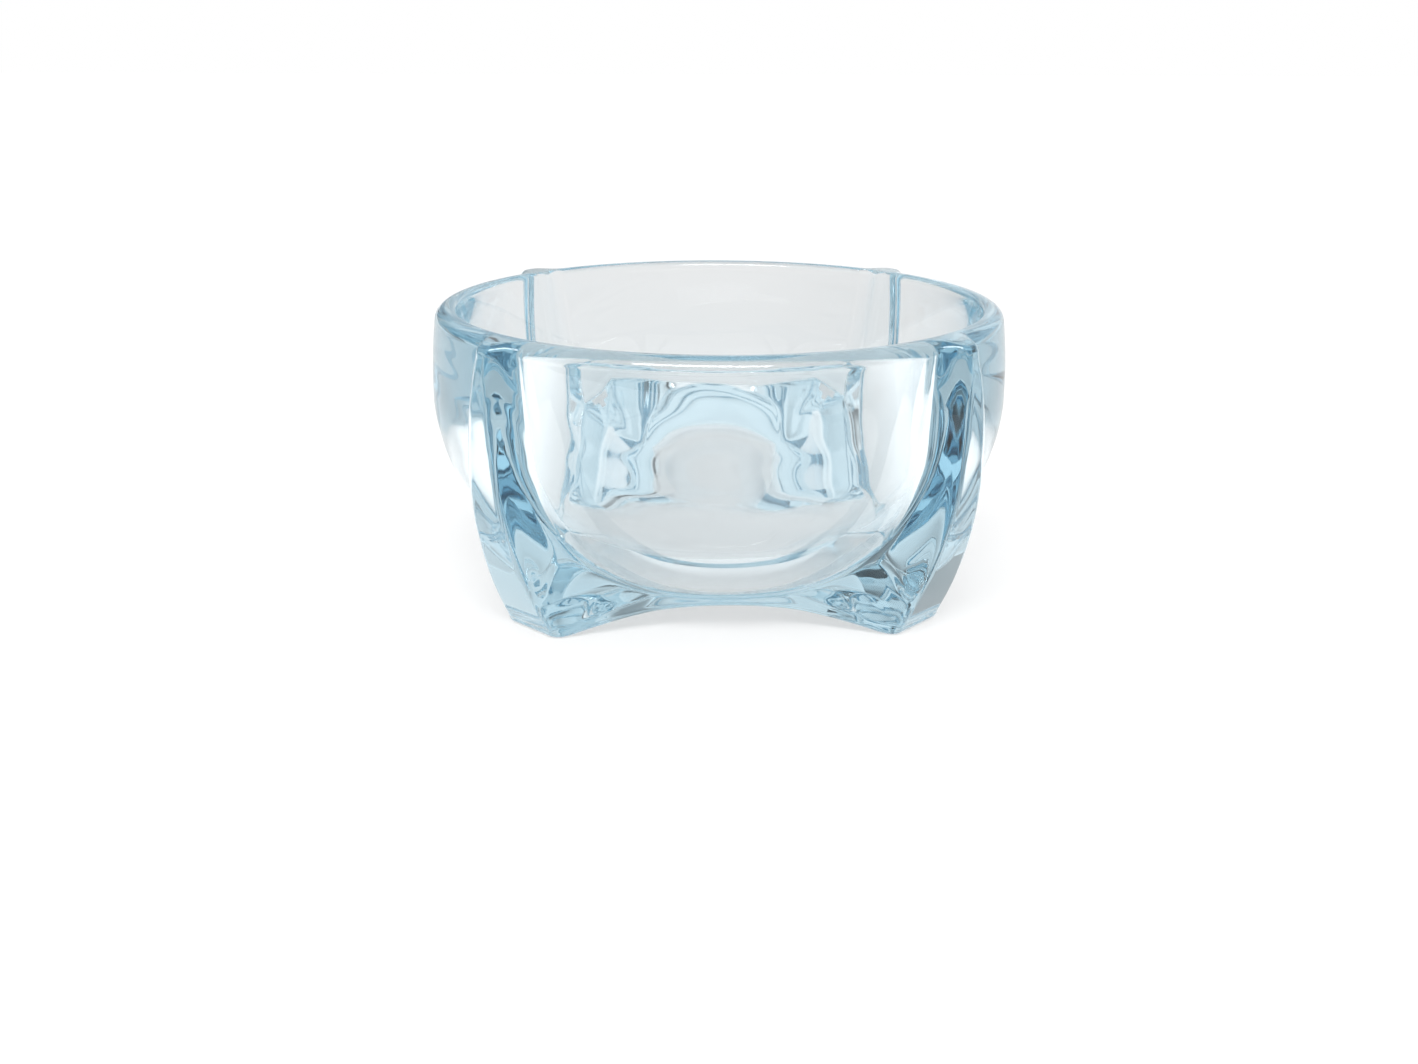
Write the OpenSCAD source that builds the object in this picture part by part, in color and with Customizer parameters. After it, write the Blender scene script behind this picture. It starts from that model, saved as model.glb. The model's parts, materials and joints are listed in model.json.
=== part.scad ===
// Open salt cellar in pale ice-blue pressed glass.
// A round, thick-walled bowl is held between four corner ribs that run down into feet.
// It is one piece of glass: the ribs, the feet, the bowl and the base are fused in the mould.
// The origin is on the table, under the middle of the bowl. X and Y point at side panels.

/* [Overall] */
// Height from the table to the top of the lip
height = 34.2; // [33:0.1:40]
// Number of straight pieces along each curved stretch of an outline
curve_steps = 14; // [8:1:20]

/* [Round bowl] */
// Outer radius of the bowl at its widest, in the middle of a side panel
belly_r = 35; // [34:0.25:38]
// Height of the widest point
belly_z = 24; // [21:0.5:26]
// Radius of the turn from the widest point down under the bowl
under_turn_r = 22.2; // [21:0.1:27]
// How far the side leans back in between the widest point and the lip
lip_lean = 0.9; // [0.2:0.1:2]
// Thickness of the glass at the lip, in the middle of a side panel
wall_t = 2.4; // [1.8:0.1:4]
// Rounding of the outer edge of the lip, less where the wall is too thin for it
lip_outer_round = 1.6; // [0.3:0.1:1.6]
// Rounding of the inner edge of the lip, less where the wall is too thin for it
lip_inner_round = 0.8; // [0.2:0.1:1.2]

/* [Salt well] */
// Height of the floor of the well
floor_z = 6.2; // [5.6:0.2:12]
// Slope of the wall of the well away from upright, in degrees
well_slope = 14; // [2:0.5:16]
// Radius of the turn from the wall of the well to its floor
well_turn_r = 17.5; // [10:0.5:20]

/* [Square base and corner ribs] */
// Distance from the middle of the bowl to the narrow flat face of the base under each side panel
base_d = 23.4; // [22.4:0.1:24.4]
// Distance from the middle of the bowl out to the flank of a rib, measured across a side panel
flank_d = 27.7; // [27.2:0.1:28.6]
// Distance along the side panel at which that is measured
flank_out = 22; // [20:0.5:24]
// Angle by which each flank faces in towards the middle of its side panel
flank_turn = 12; // [4:0.5:16]
// Height at which the flanks bulge most
flank_z = 17.5; // [16:0.5:22]
// Radius of the upright bulge of the flanks
flank_bulge_r = 74; // [60:1:120]
// Distance from the middle of the bowl to the blunt outer face of a rib, where it bulges most
corner_d = 37.8; // [36.8:0.1:38.6]
// Height at which the outer face of a rib bulges most
corner_z = 23.5; // [19:0.5:25]
// Radius of the upright bulge of the outer faces
corner_bulge_r = 45; // [42:1:80]

/* [Feet] */
// Rounding of the feet where they meet the table
foot_round = 1; // [0.2:0.1:1.5]
// Height of the arch between two feet
arch_rise = 3; // [2:0.1:4]
// Half the width of the arch between two feet, on the table
arch_half_w = 18.2; // [15:0.1:19]

/* [Hidden] */
$fn = 180;
// How far a cut runs past what it cuts
overrun = 1;
// Angle below the widest point at which the turn under the bowl is buried in the ribs
under_turn_end = -70;

// Both roundings of the lip shrink alike where together they are wider than the wall
lip_round_share = min(1, wall_t / (lip_outer_round + lip_inner_round));
outer_lip_r = lip_outer_round * lip_round_share;
inner_lip_r = lip_inner_round * lip_round_share;

upper_turn_r = (pow(height - belly_z, 2) + pow(lip_lean, 2)) / (2 * lip_lean);
arch_r = (pow(arch_half_w, 2) + pow(arch_rise, 2)) / (2 * arch_rise);
flank_from_axis = flank_d * cos(flank_turn) - flank_out * sin(flank_turn);

// The wall of the well is tangent to its turn below and to the inner rounding of the lip above
inner_lip_c = [belly_r - lip_lean - wall_t + inner_lip_r, height - inner_lip_r];
well_wall_top = inner_lip_c + inner_lip_r * [-cos(well_slope), sin(well_slope)];
well_wall_h = well_wall_top[1] - floor_z - well_turn_r * (1 - sin(well_slope));
well_floor_r = well_wall_top[0] - well_turn_r * cos(well_slope) - well_wall_h * tan(well_slope);

// Points on an arc round c, from angle a0 to angle a1
function arc(c, r, a0, a1) =
    [for (i = [0 : curve_steps])
        let (a = a0 + (a1 - a0) * i / curve_steps)
        [c[0] + r * cos(a), c[1] + r * sin(a)]];

// Side outline of a rib that bulges to wide_d at the height wide_z, rounded at both ends
function rib_outline(wide_d, wide_z, bulge_r) =
    let (
        c = [wide_d - bulge_r, wide_z],
        low_a = -asin((wide_z - foot_round) / (bulge_r - foot_round)),
        high_a = asin((height - outer_lip_r - wide_z) / (bulge_r - outer_lip_r)),
        low_c = c + (bulge_r - foot_round) * [cos(low_a), sin(low_a)],
        high_c = c + (bulge_r - outer_lip_r) * [cos(high_a), sin(high_a)])
    concat(
        arc(low_c, foot_round, -90, low_a),
        arc(c, bulge_r, low_a, high_a),
        arc(high_c, outer_lip_r, high_a, 90));

// The same outline closed on both sides of the middle
function both_sides(side) =
    concat(side, [for (i = [len(side) - 1 : -1 : 0]) [-side[i][0], side[i][1]]]);

// A long bar with a rib outline on its two sides, turned to face one way
module rib_bar(wide_d, wide_z, bulge_r, turn) {
    rotate([0, 0, turn])
        rotate([90, 0, 0])
            linear_extrude(height = 4 * corner_d, center = true)
                polygon(both_sides(rib_outline(wide_d, wide_z, bulge_r)));
}

// Two ribs that stand opposite each other: four flanks and two blunt outer faces
module rib_pair() {
    intersection() {
        rib_bar(flank_from_axis, flank_z, flank_bulge_r, -flank_turn);
        rib_bar(flank_from_axis, flank_z, flank_bulge_r, 90 + flank_turn);
        rib_bar(corner_d, corner_z, corner_bulge_r, 45);
    }
}

// The square base that the ribs stand out from; only its four narrow faces show, under the bowl
module base_block() {
    for (turn = [0, 90])
        rotate([0, 0, turn])
            translate([-base_d, -arch_half_w, 0])
                cube([2 * base_d, 2 * arch_half_w, belly_z]);
}

// The round bowl, solid: a turn under the belly and a gentle lean back in to the lip
module bowl_blank() {
    under = arc([belly_r - under_turn_r, belly_z], under_turn_r, under_turn_end, 0);
    c = [belly_r - upper_turn_r, belly_z];
    lean_a = asin((height - outer_lip_r - belly_z) / (upper_turn_r - outer_lip_r));
    side = arc(c, upper_turn_r, 0, lean_a);
    lip_c = c + (upper_turn_r - outer_lip_r) * [cos(lean_a), sin(lean_a)];
    lip = arc(lip_c, outer_lip_r, lean_a, 90);
    rotate_extrude()
        polygon(concat([[0, under[0][1]]], under, side, lip, [[0, height]]));
}

// The salt well: flat floor, round turn, sloping wall and an eased inner lip
module salt_well() {
    turn = arc([well_floor_r, floor_z + well_turn_r], well_turn_r, -90, -well_slope);
    ease = arc(inner_lip_c, inner_lip_r, 180 - well_slope, 90);
    rotate_extrude()
        polygon(concat(
            [[0, floor_z]], turn, ease,
            [[inner_lip_c[0], height + overrun], [0, height + overrun]]));
}

// The low vault under the base that leaves the four feet standing
module arch_vault() {
    for (turn = [0, 90])
        rotate([0, 0, turn])
            translate([0, 0, arch_rise - arch_r])
                rotate([90, 0, 0])
                    cylinder(h = 4 * corner_d, r = arch_r, center = true);
}

module glass_body() {
    color([0.78, 0.88, 0.93])
        difference() {
            union() {
                rib_pair();
                mirror([1, 0, 0])
                    rib_pair();
                base_block();
                bowl_blank();
            }
            salt_well();
            arch_vault();
        }
}

glass_body();
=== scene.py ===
# %% [markdown]
# # An open salt cellar in pale ice-blue pressed glass
#
# The real object is one piece of pressed glass: a round bowl that four corner ribs carry.
# The ribs run down into feet, and a low arch joins each pair of feet.
# This lesson models that one piece as a single closed surface, worked out with numpy,
# then gives it a glass that bends light and absorbs a little red on the way through.
#
# Everything is in metres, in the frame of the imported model: +Z is up, the table is Z = 0,
# and X and Y point at the middles of side panels. Named angles are in degrees, apart from
# QUARTER_TURN and names that end in RAD.

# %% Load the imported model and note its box
import json

import bpy
import numpy as np
from mathutils import Matrix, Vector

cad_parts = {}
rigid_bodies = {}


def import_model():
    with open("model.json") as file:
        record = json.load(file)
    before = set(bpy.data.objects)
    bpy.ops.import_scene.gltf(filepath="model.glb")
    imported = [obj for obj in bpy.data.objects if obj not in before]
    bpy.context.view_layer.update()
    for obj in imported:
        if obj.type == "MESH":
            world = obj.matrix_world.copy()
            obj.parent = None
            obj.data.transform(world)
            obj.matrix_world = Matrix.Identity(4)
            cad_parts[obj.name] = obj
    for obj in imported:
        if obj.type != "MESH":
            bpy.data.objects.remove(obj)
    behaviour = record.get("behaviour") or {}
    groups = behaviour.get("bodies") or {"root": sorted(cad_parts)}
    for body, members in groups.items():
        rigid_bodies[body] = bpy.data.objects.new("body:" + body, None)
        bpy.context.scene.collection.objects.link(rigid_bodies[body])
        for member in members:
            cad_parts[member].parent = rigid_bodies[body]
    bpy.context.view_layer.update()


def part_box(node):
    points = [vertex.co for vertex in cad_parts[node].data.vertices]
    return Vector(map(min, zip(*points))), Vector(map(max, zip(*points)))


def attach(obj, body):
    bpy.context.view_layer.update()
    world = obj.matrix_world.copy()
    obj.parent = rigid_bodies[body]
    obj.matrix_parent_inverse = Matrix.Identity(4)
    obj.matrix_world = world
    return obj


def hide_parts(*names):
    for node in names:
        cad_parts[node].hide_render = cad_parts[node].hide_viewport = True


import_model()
cad_low, cad_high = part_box("glass_body")
print("frame box in mm:", [round(1000 * v, 2) for v in (*cad_low, *cad_high)])

# %% [markdown]
# ## Overall size
#
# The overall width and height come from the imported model, so the glass always fits the frame.
# The other sizes are the ones that a mould maker would write on the drawing: how round the
# bowl is, where the ribs stand, how thick the lip is, and how the pressing rounds each edge.
# Each is named where its part of the shape is worked out.

# %% Width and height
MM = 0.001
QUARTER_TURN = np.pi / 2
BELLY_R = 0.5 * (cad_high[0] - cad_low[0])
HEIGHT = cad_high[2]
print("radius of the belly and height, mm:", round(BELLY_R / MM, 2), round(HEIGHT / MM, 2))

# %% [markdown]
# ## Soft corners
#
# A pressing is polished by fire, which rounds each edge a little. The faces could be cut with
# booleans, but those leave knife edges that would have to be bevelled afterwards. A soft
# maximum or minimum of two formulas gives the shape and its small rounding at once, so every
# change-over from one face to another is made with one of these.


# %% Soft maximum and soft minimum
def soft_max(a, b, width):
    """The larger of a and b, with a parabola added that rounds the corner between them.

    It is a quarter of the width high where a equals b, and nothing once they differ by the width.
    """
    nearness = np.clip(1 - np.abs(a - b) / width, 0, None)
    return np.maximum(a, b) + 0.25 * width * nearness**2


def soft_min(a, b, width):
    """The smaller of a and b, rounded in the same way."""
    return -soft_max(-a, -b, width)


print("where two faces cross, a width of 1 mm moves the surface by", soft_max(0.0, 0.0, 1.0), "mm")

# %% [markdown]
# ## The round bowl
#
# A potter would turn the bowl on a wheel. Its side is two arcs that meet at the widest height:
# a tight one that turns in under the belly, and a slack one that leans back in to the lip.
# The radius of the slack one follows from how far it leans in over its height.

# %% Radius of the bowl, by height
BELLY_Z = 24.0 * MM
UNDER_TURN_R = 22.2 * MM
LIP_LEAN = 0.9 * MM
LIP_R = BELLY_R - LIP_LEAN
UPPER_TURN_R = ((HEIGHT - BELLY_Z) ** 2 + LIP_LEAN**2) / (2 * LIP_LEAN)
ARC_USED_SHARE = 0.98


def bowl_radius(z):
    """Place of the arc's centre, plus the root of its radius squared less the drop squared.

    The drop from the widest height stops just short of the radius, deep inside the base.
    """
    turn = np.where(z < BELLY_Z, UNDER_TURN_R, UPPER_TURN_R)
    drop = np.clip(np.abs(z - BELLY_Z), 0, ARC_USED_SHARE * turn)
    return BELLY_R - turn + np.sqrt(turn**2 - drop**2)


print("radius of the bowl 10 mm above the table, mm:", round(float(bowl_radius(10 * MM)) / MM, 2))

# %% [markdown]
# ## The corner ribs and the base
#
# Seen from above, one slice of the outside is a circle with four ribs that stand out of it at
# the corners. The circle is the bowl. Each rib has a blunt outer face across the diagonal and
# two flanks, and a flank faces in by a few degrees towards the middle of its side panel. Low
# down the bowl turns in under itself, and a narrow flat face of the base shows below it.
# The slice's edge is whichever of these stands furthest out in each direction. The line where
# the bowl changes over to the ribs is the U-shaped edge of each side panel.

# %% Radius of the outside, by direction and height
FLANK_D = 27.7 * MM
FLANK_OUT = 22.0 * MM
FLANK_TURN = 12.0
FLANK_Z = 17.5 * MM
FLANK_BULGE_R = 74.0 * MM
CORNER_D = 37.8 * MM
CORNER_Z = 23.5 * MM
CORNER_BULGE_R = 45.0 * MM
BASE_D = 23.4 * MM

FLANK_BASE_BLEND = 0.3 * MM
RIB_EDGE_BLEND = 0.95 * MM
PANEL_CREASE_BLEND = 1.2 * MM

FLANK_TURN_RAD = np.radians(FLANK_TURN)
FLANK_FROM_AXIS = FLANK_D * np.cos(FLANK_TURN_RAD) - FLANK_OUT * np.sin(FLANK_TURN_RAD)


def bulge(z, widest, z_widest, radius):
    """Distance from the axis of a face that bulges along an upright arc."""
    return widest - radius + np.sqrt(radius**2 - (z - z_widest) ** 2)


def outer_radius(theta, z):
    """Soft maximum of the bowl's circle and the square of ribs with blunt corners.

    A straight face at distance d is met at d / cos(angle from its own direction). A flank's
    direction is FLANK_TURN on the far side of the middle of its panel.
    """
    from_panel = np.abs((theta + QUARTER_TURN / 2) % QUARTER_TURN - QUARTER_TURN / 2)
    from_corner = QUARTER_TURN / 2 - from_panel
    flank = bulge(z, FLANK_FROM_AXIS, FLANK_Z, FLANK_BULGE_R) / np.cos(from_panel + FLANK_TURN_RAD)
    corner = bulge(z, CORNER_D, CORNER_Z, CORNER_BULGE_R) / np.cos(from_corner)
    base = BASE_D / np.cos(from_panel)
    ribs = soft_min(soft_max(flank, base, FLANK_BASE_BLEND), corner, RIB_EDGE_BLEND)
    return soft_max(ribs, bowl_radius(z), PANEL_CREASE_BLEND)


over_corner = float(outer_radius(QUARTER_TURN / 2, CORNER_Z))
print("from the axis to the outer face of a rib, mm:", round(over_corner / MM, 2))

# %% [markdown]
# ## The underside
#
# The feet stand because a low arch is pressed through under each side. The two arches cross,
# so the underside is a shallow vault: at any point its height is the larger of the two.

# %% Height of the underside
ARCH_RISE = 3.0 * MM
ARCH_HALF_W = 18.2 * MM
ARCH_R = (ARCH_HALF_W**2 + ARCH_RISE**2) / (2 * ARCH_RISE)
VAULT_BLEND = 0.5 * MM


def arch(u):
    """Height of a circle's arc at the sideways place u, which goes on below the table."""
    return ARCH_RISE - ARCH_R + np.sqrt(np.clip(ARCH_R**2 - u**2, 0, None))


def underside(x, y):
    """The highest of the two arches and the table, with soft groins between them."""
    return soft_max(soft_max(arch(x), arch(y), VAULT_BLEND), 0 * x, VAULT_BLEND)


print("height of the vault in the middle, mm:", round(float(underside(0.0, 0.0)) / MM, 3))

# %% [markdown]
# ## The lip and the salt well
#
# The well is the print of a simple plunger: a flat floor, one large turn and a sloping wall.
# So the glass is thin at the lip and thick below. The wall is tangent to the turn below it
# and to the small inner rounding of the lip above it, and the radius of the floor follows.

# %% Sizes of the lip and the well
WALL_T = 2.4 * MM
LIP_OUTER_ROUND = 1.6 * MM
LIP_INNER_ROUND = 0.8 * MM
FLOOR_Z = 6.2 * MM
WELL_TURN_R = 17.5 * MM
WELL_SLOPE = 14.0

SLOPE_RAD = np.radians(WELL_SLOPE)
INNER_LIP_R = LIP_R - WALL_T + LIP_INNER_ROUND
INNER_LIP_Z = HEIGHT - LIP_INNER_ROUND
WALL_TOP_R = INNER_LIP_R - LIP_INNER_ROUND * np.cos(SLOPE_RAD)
WALL_TOP_Z = INNER_LIP_Z + LIP_INNER_ROUND * np.sin(SLOPE_RAD)
WELL_WALL_H = WALL_TOP_Z - FLOOR_Z - WELL_TURN_R * (1 - np.sin(SLOPE_RAD))
WELL_WALL_IN = WELL_WALL_H * np.tan(SLOPE_RAD)
WELL_FLOOR_R = WALL_TOP_R - WELL_TURN_R * np.cos(SLOPE_RAD) - WELL_WALL_IN
print("radius of the well at its top, mm:", round(WALL_TOP_R / MM, 2))
print("radius of its flat floor, mm:", round(WELL_FLOOR_R / MM, 2))

# %% [markdown]
# ## Faint waves
#
# A pressing copies the polish of its mould, then shrinks and is reheated, so its skin is never
# quite true. The waves are a few hundredths of a millimetre high and show only because glass
# bends light: they make the straight lines seen through the bowl tremble. A bump texture would
# leave the mesh smooth, so the waves are added to the shape itself, as crossing sine waves.

# %% Depth of the waves
WAVE_H = 0.04 * MM
WAVE_CLIMB = 13.0 * MM
# Each wave: how often it goes round the axis, how often it climbs, and its start in radians
WAVES = ((2, 1, 0.3), (3, -1, 1.7), (5, 2, 4.1), (8, -1, 2.6), (11, 3, 5.2))


def dip(theta, z, share):
    """How far the skin dips: sine waves that wind round the axis as they climb, added up.

    The mean of the waves lies between -1 and 1, so with one added it is never negative, and the
    skin never stands out past the frame.
    The share of the way along the wall fades the waves out at both ends.
    """
    climb = 2 * np.pi * z / WAVE_CLIMB
    waves = [np.sin(turns * theta + climbs * climb + start) for turns, climbs, start in WAVES]
    return WAVE_H * np.sqrt(np.sin(np.pi * share)) * (1 + sum(waves) / len(waves))


print("the deepest possible dip, mm:", round(2 * WAVE_H / MM, 3))

# %% [markdown]
# ## One closed skin
#
# A potter's wheel draws the same outline in every direction. Here the outline may differ with
# the direction. For each one, a profile goes from the middle of the underside out to the foot,
# up the side, over the lip, down the wall of the salt well and across its floor to the middle.
# All profiles have the same number of points, so they join into a grid of four-sided faces,
# and a single point closes each end.

# %% Directions and steps of the grid
N_ROUND = 480
RIB_CROWDING = 0.35


def round_the_axis():
    """Even directions moved along a sine wave, so that they crowd at the ribs.

    There they lie half as far apart as at the middles of the panels.
    """
    u = np.arange(N_ROUND) * 2 * np.pi / N_ROUND
    return u + RIB_CROWDING / 4 * np.sin(4 * u)


def shares(n):
    """A column of shares of the way in n even steps, without the start."""
    return (np.arange(1, n + 1) / n)[:, None]


def arc_angles(n, start, end):
    """A column of angles in n even steps, without the start."""
    return np.linspace(start, end, n + 1)[1:, None]


print("profiles round the axis:", len(round_the_axis()))

# %% [markdown]
# The outside half of a profile is the underside, the foot's rounding, the side and the lip's
# outer rounding. The foot's edge has to be found first: its radius depends on its height, and
# the underside's height depends on the radius.

# %% Profile of the outside
FOOT_ROUND = 1.0 * MM
N_UNDER = 26
N_FOOT = 6
N_SIDE = 106
N_LIP = 10
EDGE_TRIES = 4


def foot_edge(theta):
    """Radius and height of the edge: the two formulas take turns until they agree."""
    edge_z = np.zeros_like(theta)
    for _ in range(EDGE_TRIES):
        edge_r = outer_radius(theta, edge_z + FOOT_ROUND)
        inner_r = edge_r - FOOT_ROUND
        edge_z = underside(inner_r * np.cos(theta), inner_r * np.sin(theta))
    return edge_r, edge_z


def under_profile(theta, edge_r, edge_z):
    """The vault out to the foot, then a quarter circle up into the side."""
    r_vault = shares(N_UNDER) * (edge_r - FOOT_ROUND)
    z_vault = underside(r_vault * np.cos(theta), r_vault * np.sin(theta))
    a = arc_angles(N_FOOT, 0, QUARTER_TURN)
    r_foot = edge_r - FOOT_ROUND + FOOT_ROUND * np.sin(a)
    z_foot = edge_z + FOOT_ROUND * (1 - np.cos(a))
    return np.vstack([r_vault, r_foot]), np.vstack([z_vault, z_foot])


def side_profile(theta, edge_z):
    """The outside less its waves, at even heights, then a quarter circle in over the lip."""
    low = edge_z + FOOT_ROUND
    high = HEIGHT - LIP_OUTER_ROUND
    share = shares(N_SIDE)
    z_side = low + (high - low) * share
    r_side = outer_radius(theta, z_side) - dip(theta, z_side, share)
    a = arc_angles(N_LIP, 0, QUARTER_TURN)
    r_lip = r_side[-1] - LIP_OUTER_ROUND * (1 - np.cos(a))
    z_lip = high + LIP_OUTER_ROUND * np.sin(a) + 0 * theta
    return np.vstack([r_side, r_lip]), np.vstack([z_side, z_lip])


theta = round_the_axis()
edge_r, edge_z = foot_edge(theta)
print("edge of the underside, mm:", round(edge_z.min() / MM, 2), "to", round(edge_z.max() / MM, 2))

# %% [markdown]
# The inside half goes on from the lip. It is round, so it is worked out as one column of
# points and carried round the axis. Only its waves differ from direction to direction.

# %% Profile of the well
N_WALL = 6
N_TURN = 34
N_FLOOR = 8
WELL_WAVES_RAD = 1.0


def well_profile(theta):
    """The lip's inner rounding, a straight wall, a quarter circle less the slope, and the floor."""
    all_round = np.zeros_like(theta)
    a = np.linspace(QUARTER_TURN, np.pi - SLOPE_RAD, N_LIP + 1)[:, None]
    r_ease = INNER_LIP_R + LIP_INNER_ROUND * np.cos(a)
    z_ease = INNER_LIP_Z + LIP_INNER_ROUND * np.sin(a)
    r_wall = WALL_TOP_R - WELL_WALL_IN * shares(N_WALL)
    z_wall = WALL_TOP_Z - WELL_WALL_H * shares(N_WALL)
    a = arc_angles(N_TURN, SLOPE_RAD, QUARTER_TURN)
    r_turn = WELL_FLOOR_R + WELL_TURN_R * np.cos(a)
    z_turn = FLOOR_Z + WELL_TURN_R * (1 - np.sin(a))
    r_floor = WELL_FLOOR_R * (1 - shares(N_FLOOR)[:-1])
    z_floor = FLOOR_Z + 0 * r_floor

    z_well = np.vstack([z_wall, z_turn])
    waves = dip(theta + WELL_WAVES_RAD, z_well, shares(N_WALL + N_TURN))
    r_well = np.vstack([r_wall, r_turn]) - waves
    radius = np.vstack([r_ease + all_round, r_well, r_floor + all_round])
    return radius, np.vstack([z_ease, z_well, z_floor]) + all_round


well_r, well_z = well_profile(theta)
print("the well goes down from", round(well_z.max() / MM, 2), "to", round(well_z.min() / MM, 2), "mm")

# %% [markdown]
# Rings and profiles now make a grid. Its points and faces are worked out as whole arrays: each
# four-sided face joins two neighbours on one ring with the two beside them on the next ring,
# in the order that makes it face outwards.


# %% The glass body as one mesh
def closed_turning(name, theta, radius, height, low_z, high_z):
    """A mesh from rings of points, closed by one point on the axis at each end."""
    rings, n = radius.shape
    grid = np.stack([radius * np.cos(theta), radius * np.sin(theta), height], axis=-1)
    points = np.vstack([grid.reshape(-1, 3), [[0, 0, low_z], [0, 0, high_z]]])
    here = np.arange(n)
    ahead = np.roll(here, -1)
    ring = (np.arange(rings - 1) * n)[:, None]
    quads = np.stack([ring + here, ring + ahead, ring + n + ahead, ring + n + here], axis=-1)
    low_point = np.full(n, rings * n)
    last_ring = (rings - 1) * n
    low_fan = np.stack([low_point, ahead, here], axis=-1)
    high_fan = np.stack([low_point + 1, last_ring + here, last_ring + ahead], axis=-1)
    faces = quads.reshape(-1, 4).tolist() + low_fan.tolist() + high_fan.tolist()
    mesh = bpy.data.meshes.new(name)
    mesh.from_pydata(points.tolist(), [], faces)
    mesh.polygons.foreach_set("use_smooth", np.ones(len(faces), dtype=bool))
    mesh.update()
    piece = bpy.data.objects.new(name, mesh)
    bpy.context.scene.collection.objects.link(piece)
    return piece


under_r, under_z = under_profile(theta, edge_r, edge_z)
side_r, side_z = side_profile(theta, edge_z)
radius = np.vstack([under_r, side_r, well_r])
height = np.vstack([under_z, side_z, well_z])
body = closed_turning("pressed_glass_body", theta, radius, height, underside(0.0, 0.0), FLOOR_Z)
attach(body, "root")
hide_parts("glass_body")
print("glass body:", len(body.data.vertices), "points,", len(body.data.polygons), "faces")

# %% [markdown]
# ## The glass
#
# Clear glass bends light by its index and mirrors a little at the surface. The colour of this
# one isn't on the surface but in the body: iron in the batch takes out red first, then green.
# So the blue deepens with the way that light travels through the ribs and feet, and the thin
# walls look almost clear. A Volume Absorption does just that: light fades along its way at a
# rate of the density times one less the colour, so the blue goes on furthest.

# %% Ice-blue pressed glass
GLASS_INDEX = 1.51
POLISH_ROUGHNESS = 0.025
RED_GREEN_BLUE_KEPT = (0.0, 0.47, 0.65)
ABSORBED_PER_METRE = 12.0


def pressed_glass():
    """Principled glass with absorption inside."""
    mat = bpy.data.materials.new("ice_blue_glass")
    mat.use_nodes = True
    tree = mat.node_tree
    shader = tree.nodes["Principled BSDF"]
    shader.inputs["Base Color"].default_value = (1, 1, 1, 1)
    shader.inputs["Transmission Weight"].default_value = 1.0
    shader.inputs["IOR"].default_value = GLASS_INDEX
    shader.inputs["Roughness"].default_value = POLISH_ROUGHNESS
    inside = tree.nodes.new("ShaderNodeVolumeAbsorption")
    inside.inputs["Color"].default_value = (*RED_GREEN_BLUE_KEPT, 1)
    inside.inputs["Density"].default_value = ABSORBED_PER_METRE
    tree.links.new(inside.outputs["Volume"], tree.nodes["Material Output"].inputs["Volume"])
    return mat


body.data.materials.append(pressed_glass())
print("material of the glass body:", body.data.materials[0].name)

# %% [markdown]
# ## Helpers for the studio's materials
#
# Clear glass shows only what is behind it, beside it or above it, so its light and dark lines
# are set by the room. The floor and the room differ a little from place to place. Maths nodes
# and smooth steps say how, and these two helpers keep that readable.


# %% Maths and smooth steps as nodes
def maths(tree, operation, *values):
    """One maths node; each value is a number or a socket to link from."""
    node = tree.nodes.new("ShaderNodeMath")
    node.operation = operation
    for slot, value in zip(node.inputs, values):
        if isinstance(value, (int, float)):
            slot.default_value = value
        else:
            tree.links.new(value, slot)
    return node.outputs[0]


def smooth_step(tree, value, low, high, start, end):
    """A smooth step from start to end while the value goes from low to high."""
    node = tree.nodes.new("ShaderNodeMapRange")
    node.interpolation_type = "SMOOTHSTEP"
    tree.links.new(value, node.inputs["Value"])
    for name, number in (("From Min", low), ("From Max", high), ("To Min", start), ("To Max", end)):
        node.inputs[name].default_value = number
    return node.outputs["Result"]


print("helpers for the studio: maths and smooth steps")

# %% [markdown]
# ## The floor
#
# The glass stands on a matt pale floor that takes its shadow. The floor is seen through the
# bowl as well, and there it has its own glow, for rays that the glass mirrors or sends on. This
# glow holds painted light: a painted pool of light on the left and right of the glass, as if
# lamps shone from both sides, and a painted shadow of the glass behind it, where the glow is
# weaker. For the camera a glow lifts it to white. Far from the lamp every ray sees a little more
# glow, so that the floor stays as white there as near the glass.

# %% Floor
FLOOR_HALF = 3.0
FLOOR_COLOUR = 0.5
CAMERA_GLOW = 0.43
FAR_GLOW = 0.30
FAR_FROM = 0.25
FAR_FULL = 0.9
# Glow for glass rays: its level in front and below, a painted pool of light beside the glass and a
# painted shadow behind it, both starting past NEAR_EDGE
GLASS_GLOW = 0.41
SIDE_PAINTED_LIGHT = 0.29
PAINTED_SHADOW_GLOW = 0.19
NEAR_EDGE = 28.0 * MM
NEAR_BLEND = 14.0 * MM


def glass_glow_with_painted_light(tree, x, y):
    """A glow in front and below, a painted pool of light on both sides, and a painted shadow behind,
    where the glow is weaker.
    """
    sideways = maths(tree, "ABSOLUTE", x)
    # Painted light: the glow is raised on the left and right of the glass
    painted_light_beside = smooth_step(tree, sideways, NEAR_EDGE, NEAR_EDGE + NEAR_BLEND, 0, SIDE_PAINTED_LIGHT)
    # Painted shadow: the glow drops behind the glass
    outside_painted_shadow = smooth_step(tree, y, NEAR_EDGE, NEAR_EDGE + NEAR_BLEND, 1, 0)
    painted_side_light = maths(tree, "MULTIPLY", painted_light_beside, outside_painted_shadow)
    glow_with_painted_shadow = maths(tree, "MULTIPLY_ADD", outside_painted_shadow, GLASS_GLOW - PAINTED_SHADOW_GLOW, PAINTED_SHADOW_GLOW)
    return maths(tree, "ADD", painted_side_light, glow_with_painted_shadow)


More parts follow.
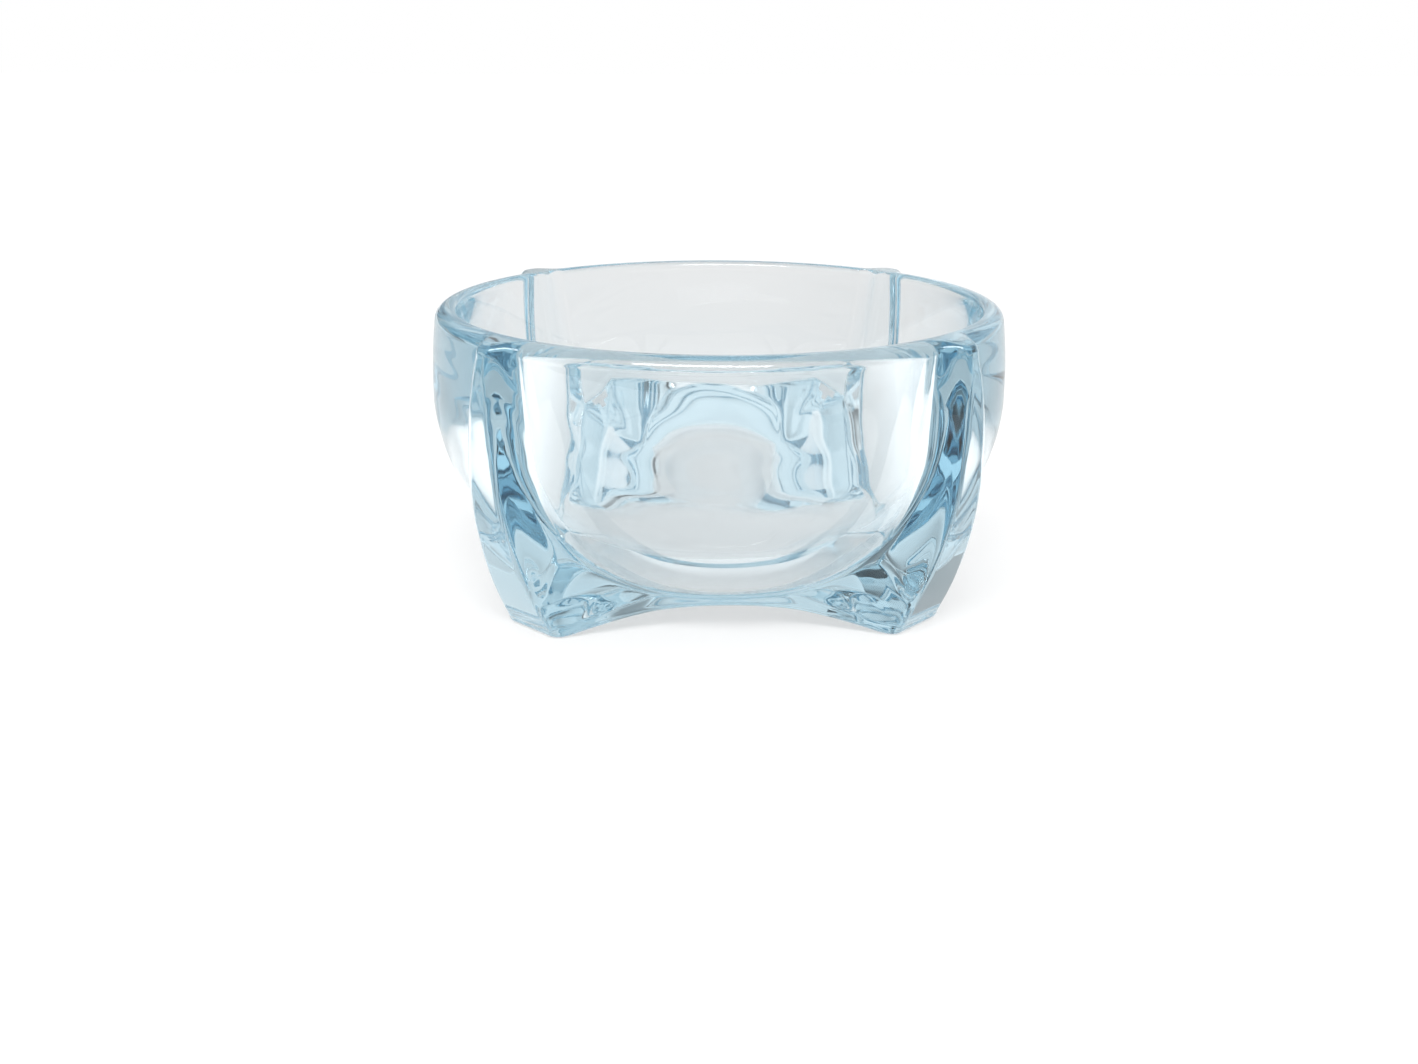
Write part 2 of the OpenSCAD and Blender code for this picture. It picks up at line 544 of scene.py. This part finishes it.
def floor_glow(tree):
    """The larger of the glow for the camera and for glass, plus the glow far away."""
    ray = tree.nodes.new("ShaderNodeLightPath").outputs
    place = tree.nodes.new("ShaderNodeTexCoord")
    split = tree.nodes.new("ShaderNodeSeparateXYZ")
    tree.links.new(place.outputs["Object"], split.inputs[0])
    level = glass_glow_with_painted_light(tree, split.outputs["X"], split.outputs["Y"])
    from_glass = maths(tree, "MAXIMUM", ray["Is Glossy Ray"], ray["Is Transmission Ray"])
    # The glow for glass rays holds the painted light beside the glass and the painted shadow behind it
    for_glass_with_painted_light = maths(tree, "MULTIPLY", from_glass, level)
    for_camera = maths(tree, "MULTIPLY", ray["Is Camera Ray"], CAMERA_GLOW)
    away = tree.nodes.new("ShaderNodeVectorMath")
    away.operation = "LENGTH"
    tree.links.new(place.outputs["Object"], away.inputs[0])
    far = smooth_step(tree, away.outputs["Value"], FAR_FROM, FAR_FULL, 0, FAR_GLOW)
    near = maths(tree, "MAXIMUM", for_camera, for_glass_with_painted_light)
    return maths(tree, "ADD", near, far)


def floor_material():
    """A matt pale surface plus the glow."""
    mat = bpy.data.materials.new("studio_floor")
    mat.use_nodes = True
    tree = mat.node_tree
    tree.nodes.clear()
    out = tree.nodes.new("ShaderNodeOutputMaterial")
    matt = tree.nodes.new("ShaderNodeBsdfDiffuse")
    matt.inputs["Color"].default_value = (FLOOR_COLOUR, FLOOR_COLOUR, FLOOR_COLOUR, 1)
    glow = tree.nodes.new("ShaderNodeEmission")
    tree.links.new(floor_glow(tree), glow.inputs["Strength"])
    both = tree.nodes.new("ShaderNodeAddShader")
    tree.links.new(matt.outputs[0], both.inputs[0])
    tree.links.new(glow.outputs[0], both.inputs[1])
    tree.links.new(both.outputs[0], out.inputs["Surface"])
    return mat


def studio_floor():
    """One large square on the table's level, centred under the glass."""
    h = FLOOR_HALF
    mesh = bpy.data.meshes.new("studio_floor")
    mesh.from_pydata([(-h, -h, 0), (h, -h, 0), (h, h, 0), (-h, h, 0)], [], [(0, 1, 2, 3)])
    mesh.materials.append(floor_material())
    floor = bpy.data.objects.new("studio_floor", mesh)
    bpy.context.scene.collection.objects.link(floor)
    return floor


floor = studio_floor()
print("floor, metres across:", 2 * FLOOR_HALF)

# %% [markdown]
# ## The room
#
# The room is white, with a slightly brighter ceiling. Low down on the left and a little behind,
# it is dark: that is what gives the ribs their deep blue strands. The camera sees plain white.

# %% Room
ROOM_LIGHT = 0.95
CEILING_LIGHT = 1.1
CEILING_FROM = 0.5
CEILING_FULL = 0.85
DARK_LIGHT = 0.08
DARK_SIDE = 165.0
DARK_FROM = -0.1
DARK_FULL = 0.9
LOW_FULL = 0.2
LOW_FROM = 0.5


def surround():
    """Room light, more towards the ceiling, less where a direction is both low and on the dark side."""
    world = bpy.data.worlds.new("studio_surround")
    bpy.context.scene.world = world
    world.use_nodes = True
    tree = world.node_tree
    tree.nodes.clear()
    out = tree.nodes.new("ShaderNodeOutputWorld")
    light = tree.nodes.new("ShaderNodeBackground")
    light.inputs["Color"].default_value = (1, 1, 1, 1)
    place = tree.nodes.new("ShaderNodeTexCoord")
    split = tree.nodes.new("ShaderNodeSeparateXYZ")
    tree.links.new(place.outputs["Generated"], split.inputs[0])
    towards = tree.nodes.new("ShaderNodeVectorMath")
    towards.operation = "DOT_PRODUCT"
    tree.links.new(place.outputs["Generated"], towards.inputs[0])
    turn = np.radians(DARK_SIDE)
    towards.inputs[1].default_value = (np.cos(turn), np.sin(turn), 0)

    up = split.outputs["Z"]
    side = smooth_step(tree, towards.outputs["Value"], DARK_FROM, DARK_FULL, 0, 1)
    low = smooth_step(tree, up, LOW_FULL, LOW_FROM, 1, 0)
    dark = maths(tree, "MULTIPLY", side, low)
    room = smooth_step(tree, up, CEILING_FROM, CEILING_FULL, ROOM_LIGHT, CEILING_LIGHT)
    level = maths(tree, "MULTIPLY_ADD", dark, DARK_LIGHT - ROOM_LIGHT, room)
    ray = tree.nodes.new("ShaderNodeLightPath").outputs
    seen = maths(tree, "MAXIMUM", level, ray["Is Camera Ray"])
    tree.links.new(seen, light.inputs["Strength"])
    tree.links.new(light.outputs[0], out.inputs["Surface"])
    return world


room = surround()
print("room:", room.name, "with light from", DARK_LIGHT, "to", CEILING_LIGHT)

# %% [markdown]
# ## The lamp
#
# One soft lamp hangs above and in front. It draws the highlights on the outside of the glass
# and the faint shadow, and is left out of what the glass refracts. A lamp and a camera both
# look along their own -Z, so one helper turns either from its three axes.

# %% Soft lamp
LAMP_AWAY = 0.8
LAMP_TURN = -10.0
LAMP_RISE = 46.0
LAMP_W = 0.66
LAMP_H = 0.16
LAMP_RADIANCE = 13.0


def stand(thing, right, up, back, place):
    """Set an object's matrix: its columns are the three axes and the place."""
    columns = np.stack([right, up, back, place], axis=1)
    thing.matrix_world = Matrix([*columns.tolist(), [0, 0, 0, 1]])


def soft_lamp():
    """A rectangle that faces the glass, at a bearing from the front and a rise above the table.

    Its power is its radiance times pi times its area.
    """
    data = bpy.data.lights.new("soft_lamp_in_front", "AREA")
    data.shape = "RECTANGLE"
    data.size = LAMP_W
    data.size_y = LAMP_H
    data.energy = LAMP_RADIANCE * np.pi * LAMP_W * LAMP_H
    turn = np.radians(LAMP_TURN)
    rise = np.radians(LAMP_RISE)
    back = np.array([np.sin(turn) * np.cos(rise), -np.cos(turn) * np.cos(rise), np.sin(rise)])
    right = np.array([np.cos(turn), np.sin(turn), 0])
    lamp = bpy.data.objects.new("soft_lamp_in_front", data)
    lamp.visible_transmission = False
    bpy.context.scene.collection.objects.link(lamp)
    stand(lamp, right, np.cross(back, right), back, LAMP_AWAY * back + [0, 0, HEIGHT])
    return lamp


lamp = soft_lamp()
print("lamp power in watts:", round(lamp.data.energy, 1))

# %% [markdown]
# ## Camera
#
# The photograph was taken from close by and a little above. The camera faces the axis of the
# glass and tips down. A yaw and a roll of less than a degree put the glass where it is in the
# photograph.

# %% Camera at the photograph's place
PHOTO_W = 1418
FOCAL_PX = 1400.0
SENSOR_W = 36.0
CAMERA_PLACE = (-7.0 * MM, -171.1 * MM, 63.7 * MM)
CAMERA_PITCH = 19.21
CAMERA_YAW = -0.38
CAMERA_ROLL = 0.20
NEAREST_SEEN = 0.005
FURTHEST_SEEN = 20.0


def photo_camera():
    """A camera that turns about the upright axis, then tips down, then rolls about its own view."""
    pitch, yaw, roll = np.radians([CAMERA_PITCH, CAMERA_YAW, CAMERA_ROLL])
    heading = np.arctan2(-CAMERA_PLACE[0], -CAMERA_PLACE[1]) + yaw
    level = np.array([np.cos(heading), -np.sin(heading), 0])
    ahead = np.array([np.sin(heading), np.cos(heading), 0])
    forward = ahead * np.cos(pitch) - np.array([0, 0, np.sin(pitch)])
    above = np.cross(level, forward)
    right = np.cos(roll) * level + np.sin(roll) * above
    up = np.cos(roll) * above - np.sin(roll) * level
    data = bpy.data.cameras.new("photo_camera")
    data.sensor_width = SENSOR_W
    data.lens = SENSOR_W * FOCAL_PX / PHOTO_W
    data.clip_start = NEAREST_SEEN
    data.clip_end = FURTHEST_SEEN
    camera = bpy.data.objects.new("photo_camera", data)
    bpy.context.scene.collection.objects.link(camera)
    stand(camera, right, up, -forward, CAMERA_PLACE)
    return camera


bpy.context.scene.camera = photo_camera()
print("lens in mm:", round(bpy.context.scene.camera.data.lens, 2))

# %% [markdown]
# ## Light paths through thick glass
#
# A ray that looks through the bowl crosses four or more surfaces, and in the ribs and feet it
# is thrown to and fro between faces. With too few bounces those places turn black, so the limits
# are raised. The view transform stays plain, so that a colour shows as it is lit.

# %% Bounces and view
MOST_BOUNCES = 32
GLOSSY_BOUNCES = 16

scene = bpy.context.scene
scene.view_settings.view_transform = "Standard"
scene.cycles.max_bounces = MOST_BOUNCES
scene.cycles.transmission_bounces = MOST_BOUNCES
scene.cycles.glossy_bounces = GLOSSY_BOUNCES
print("bounces in all:", scene.cycles.max_bounces)
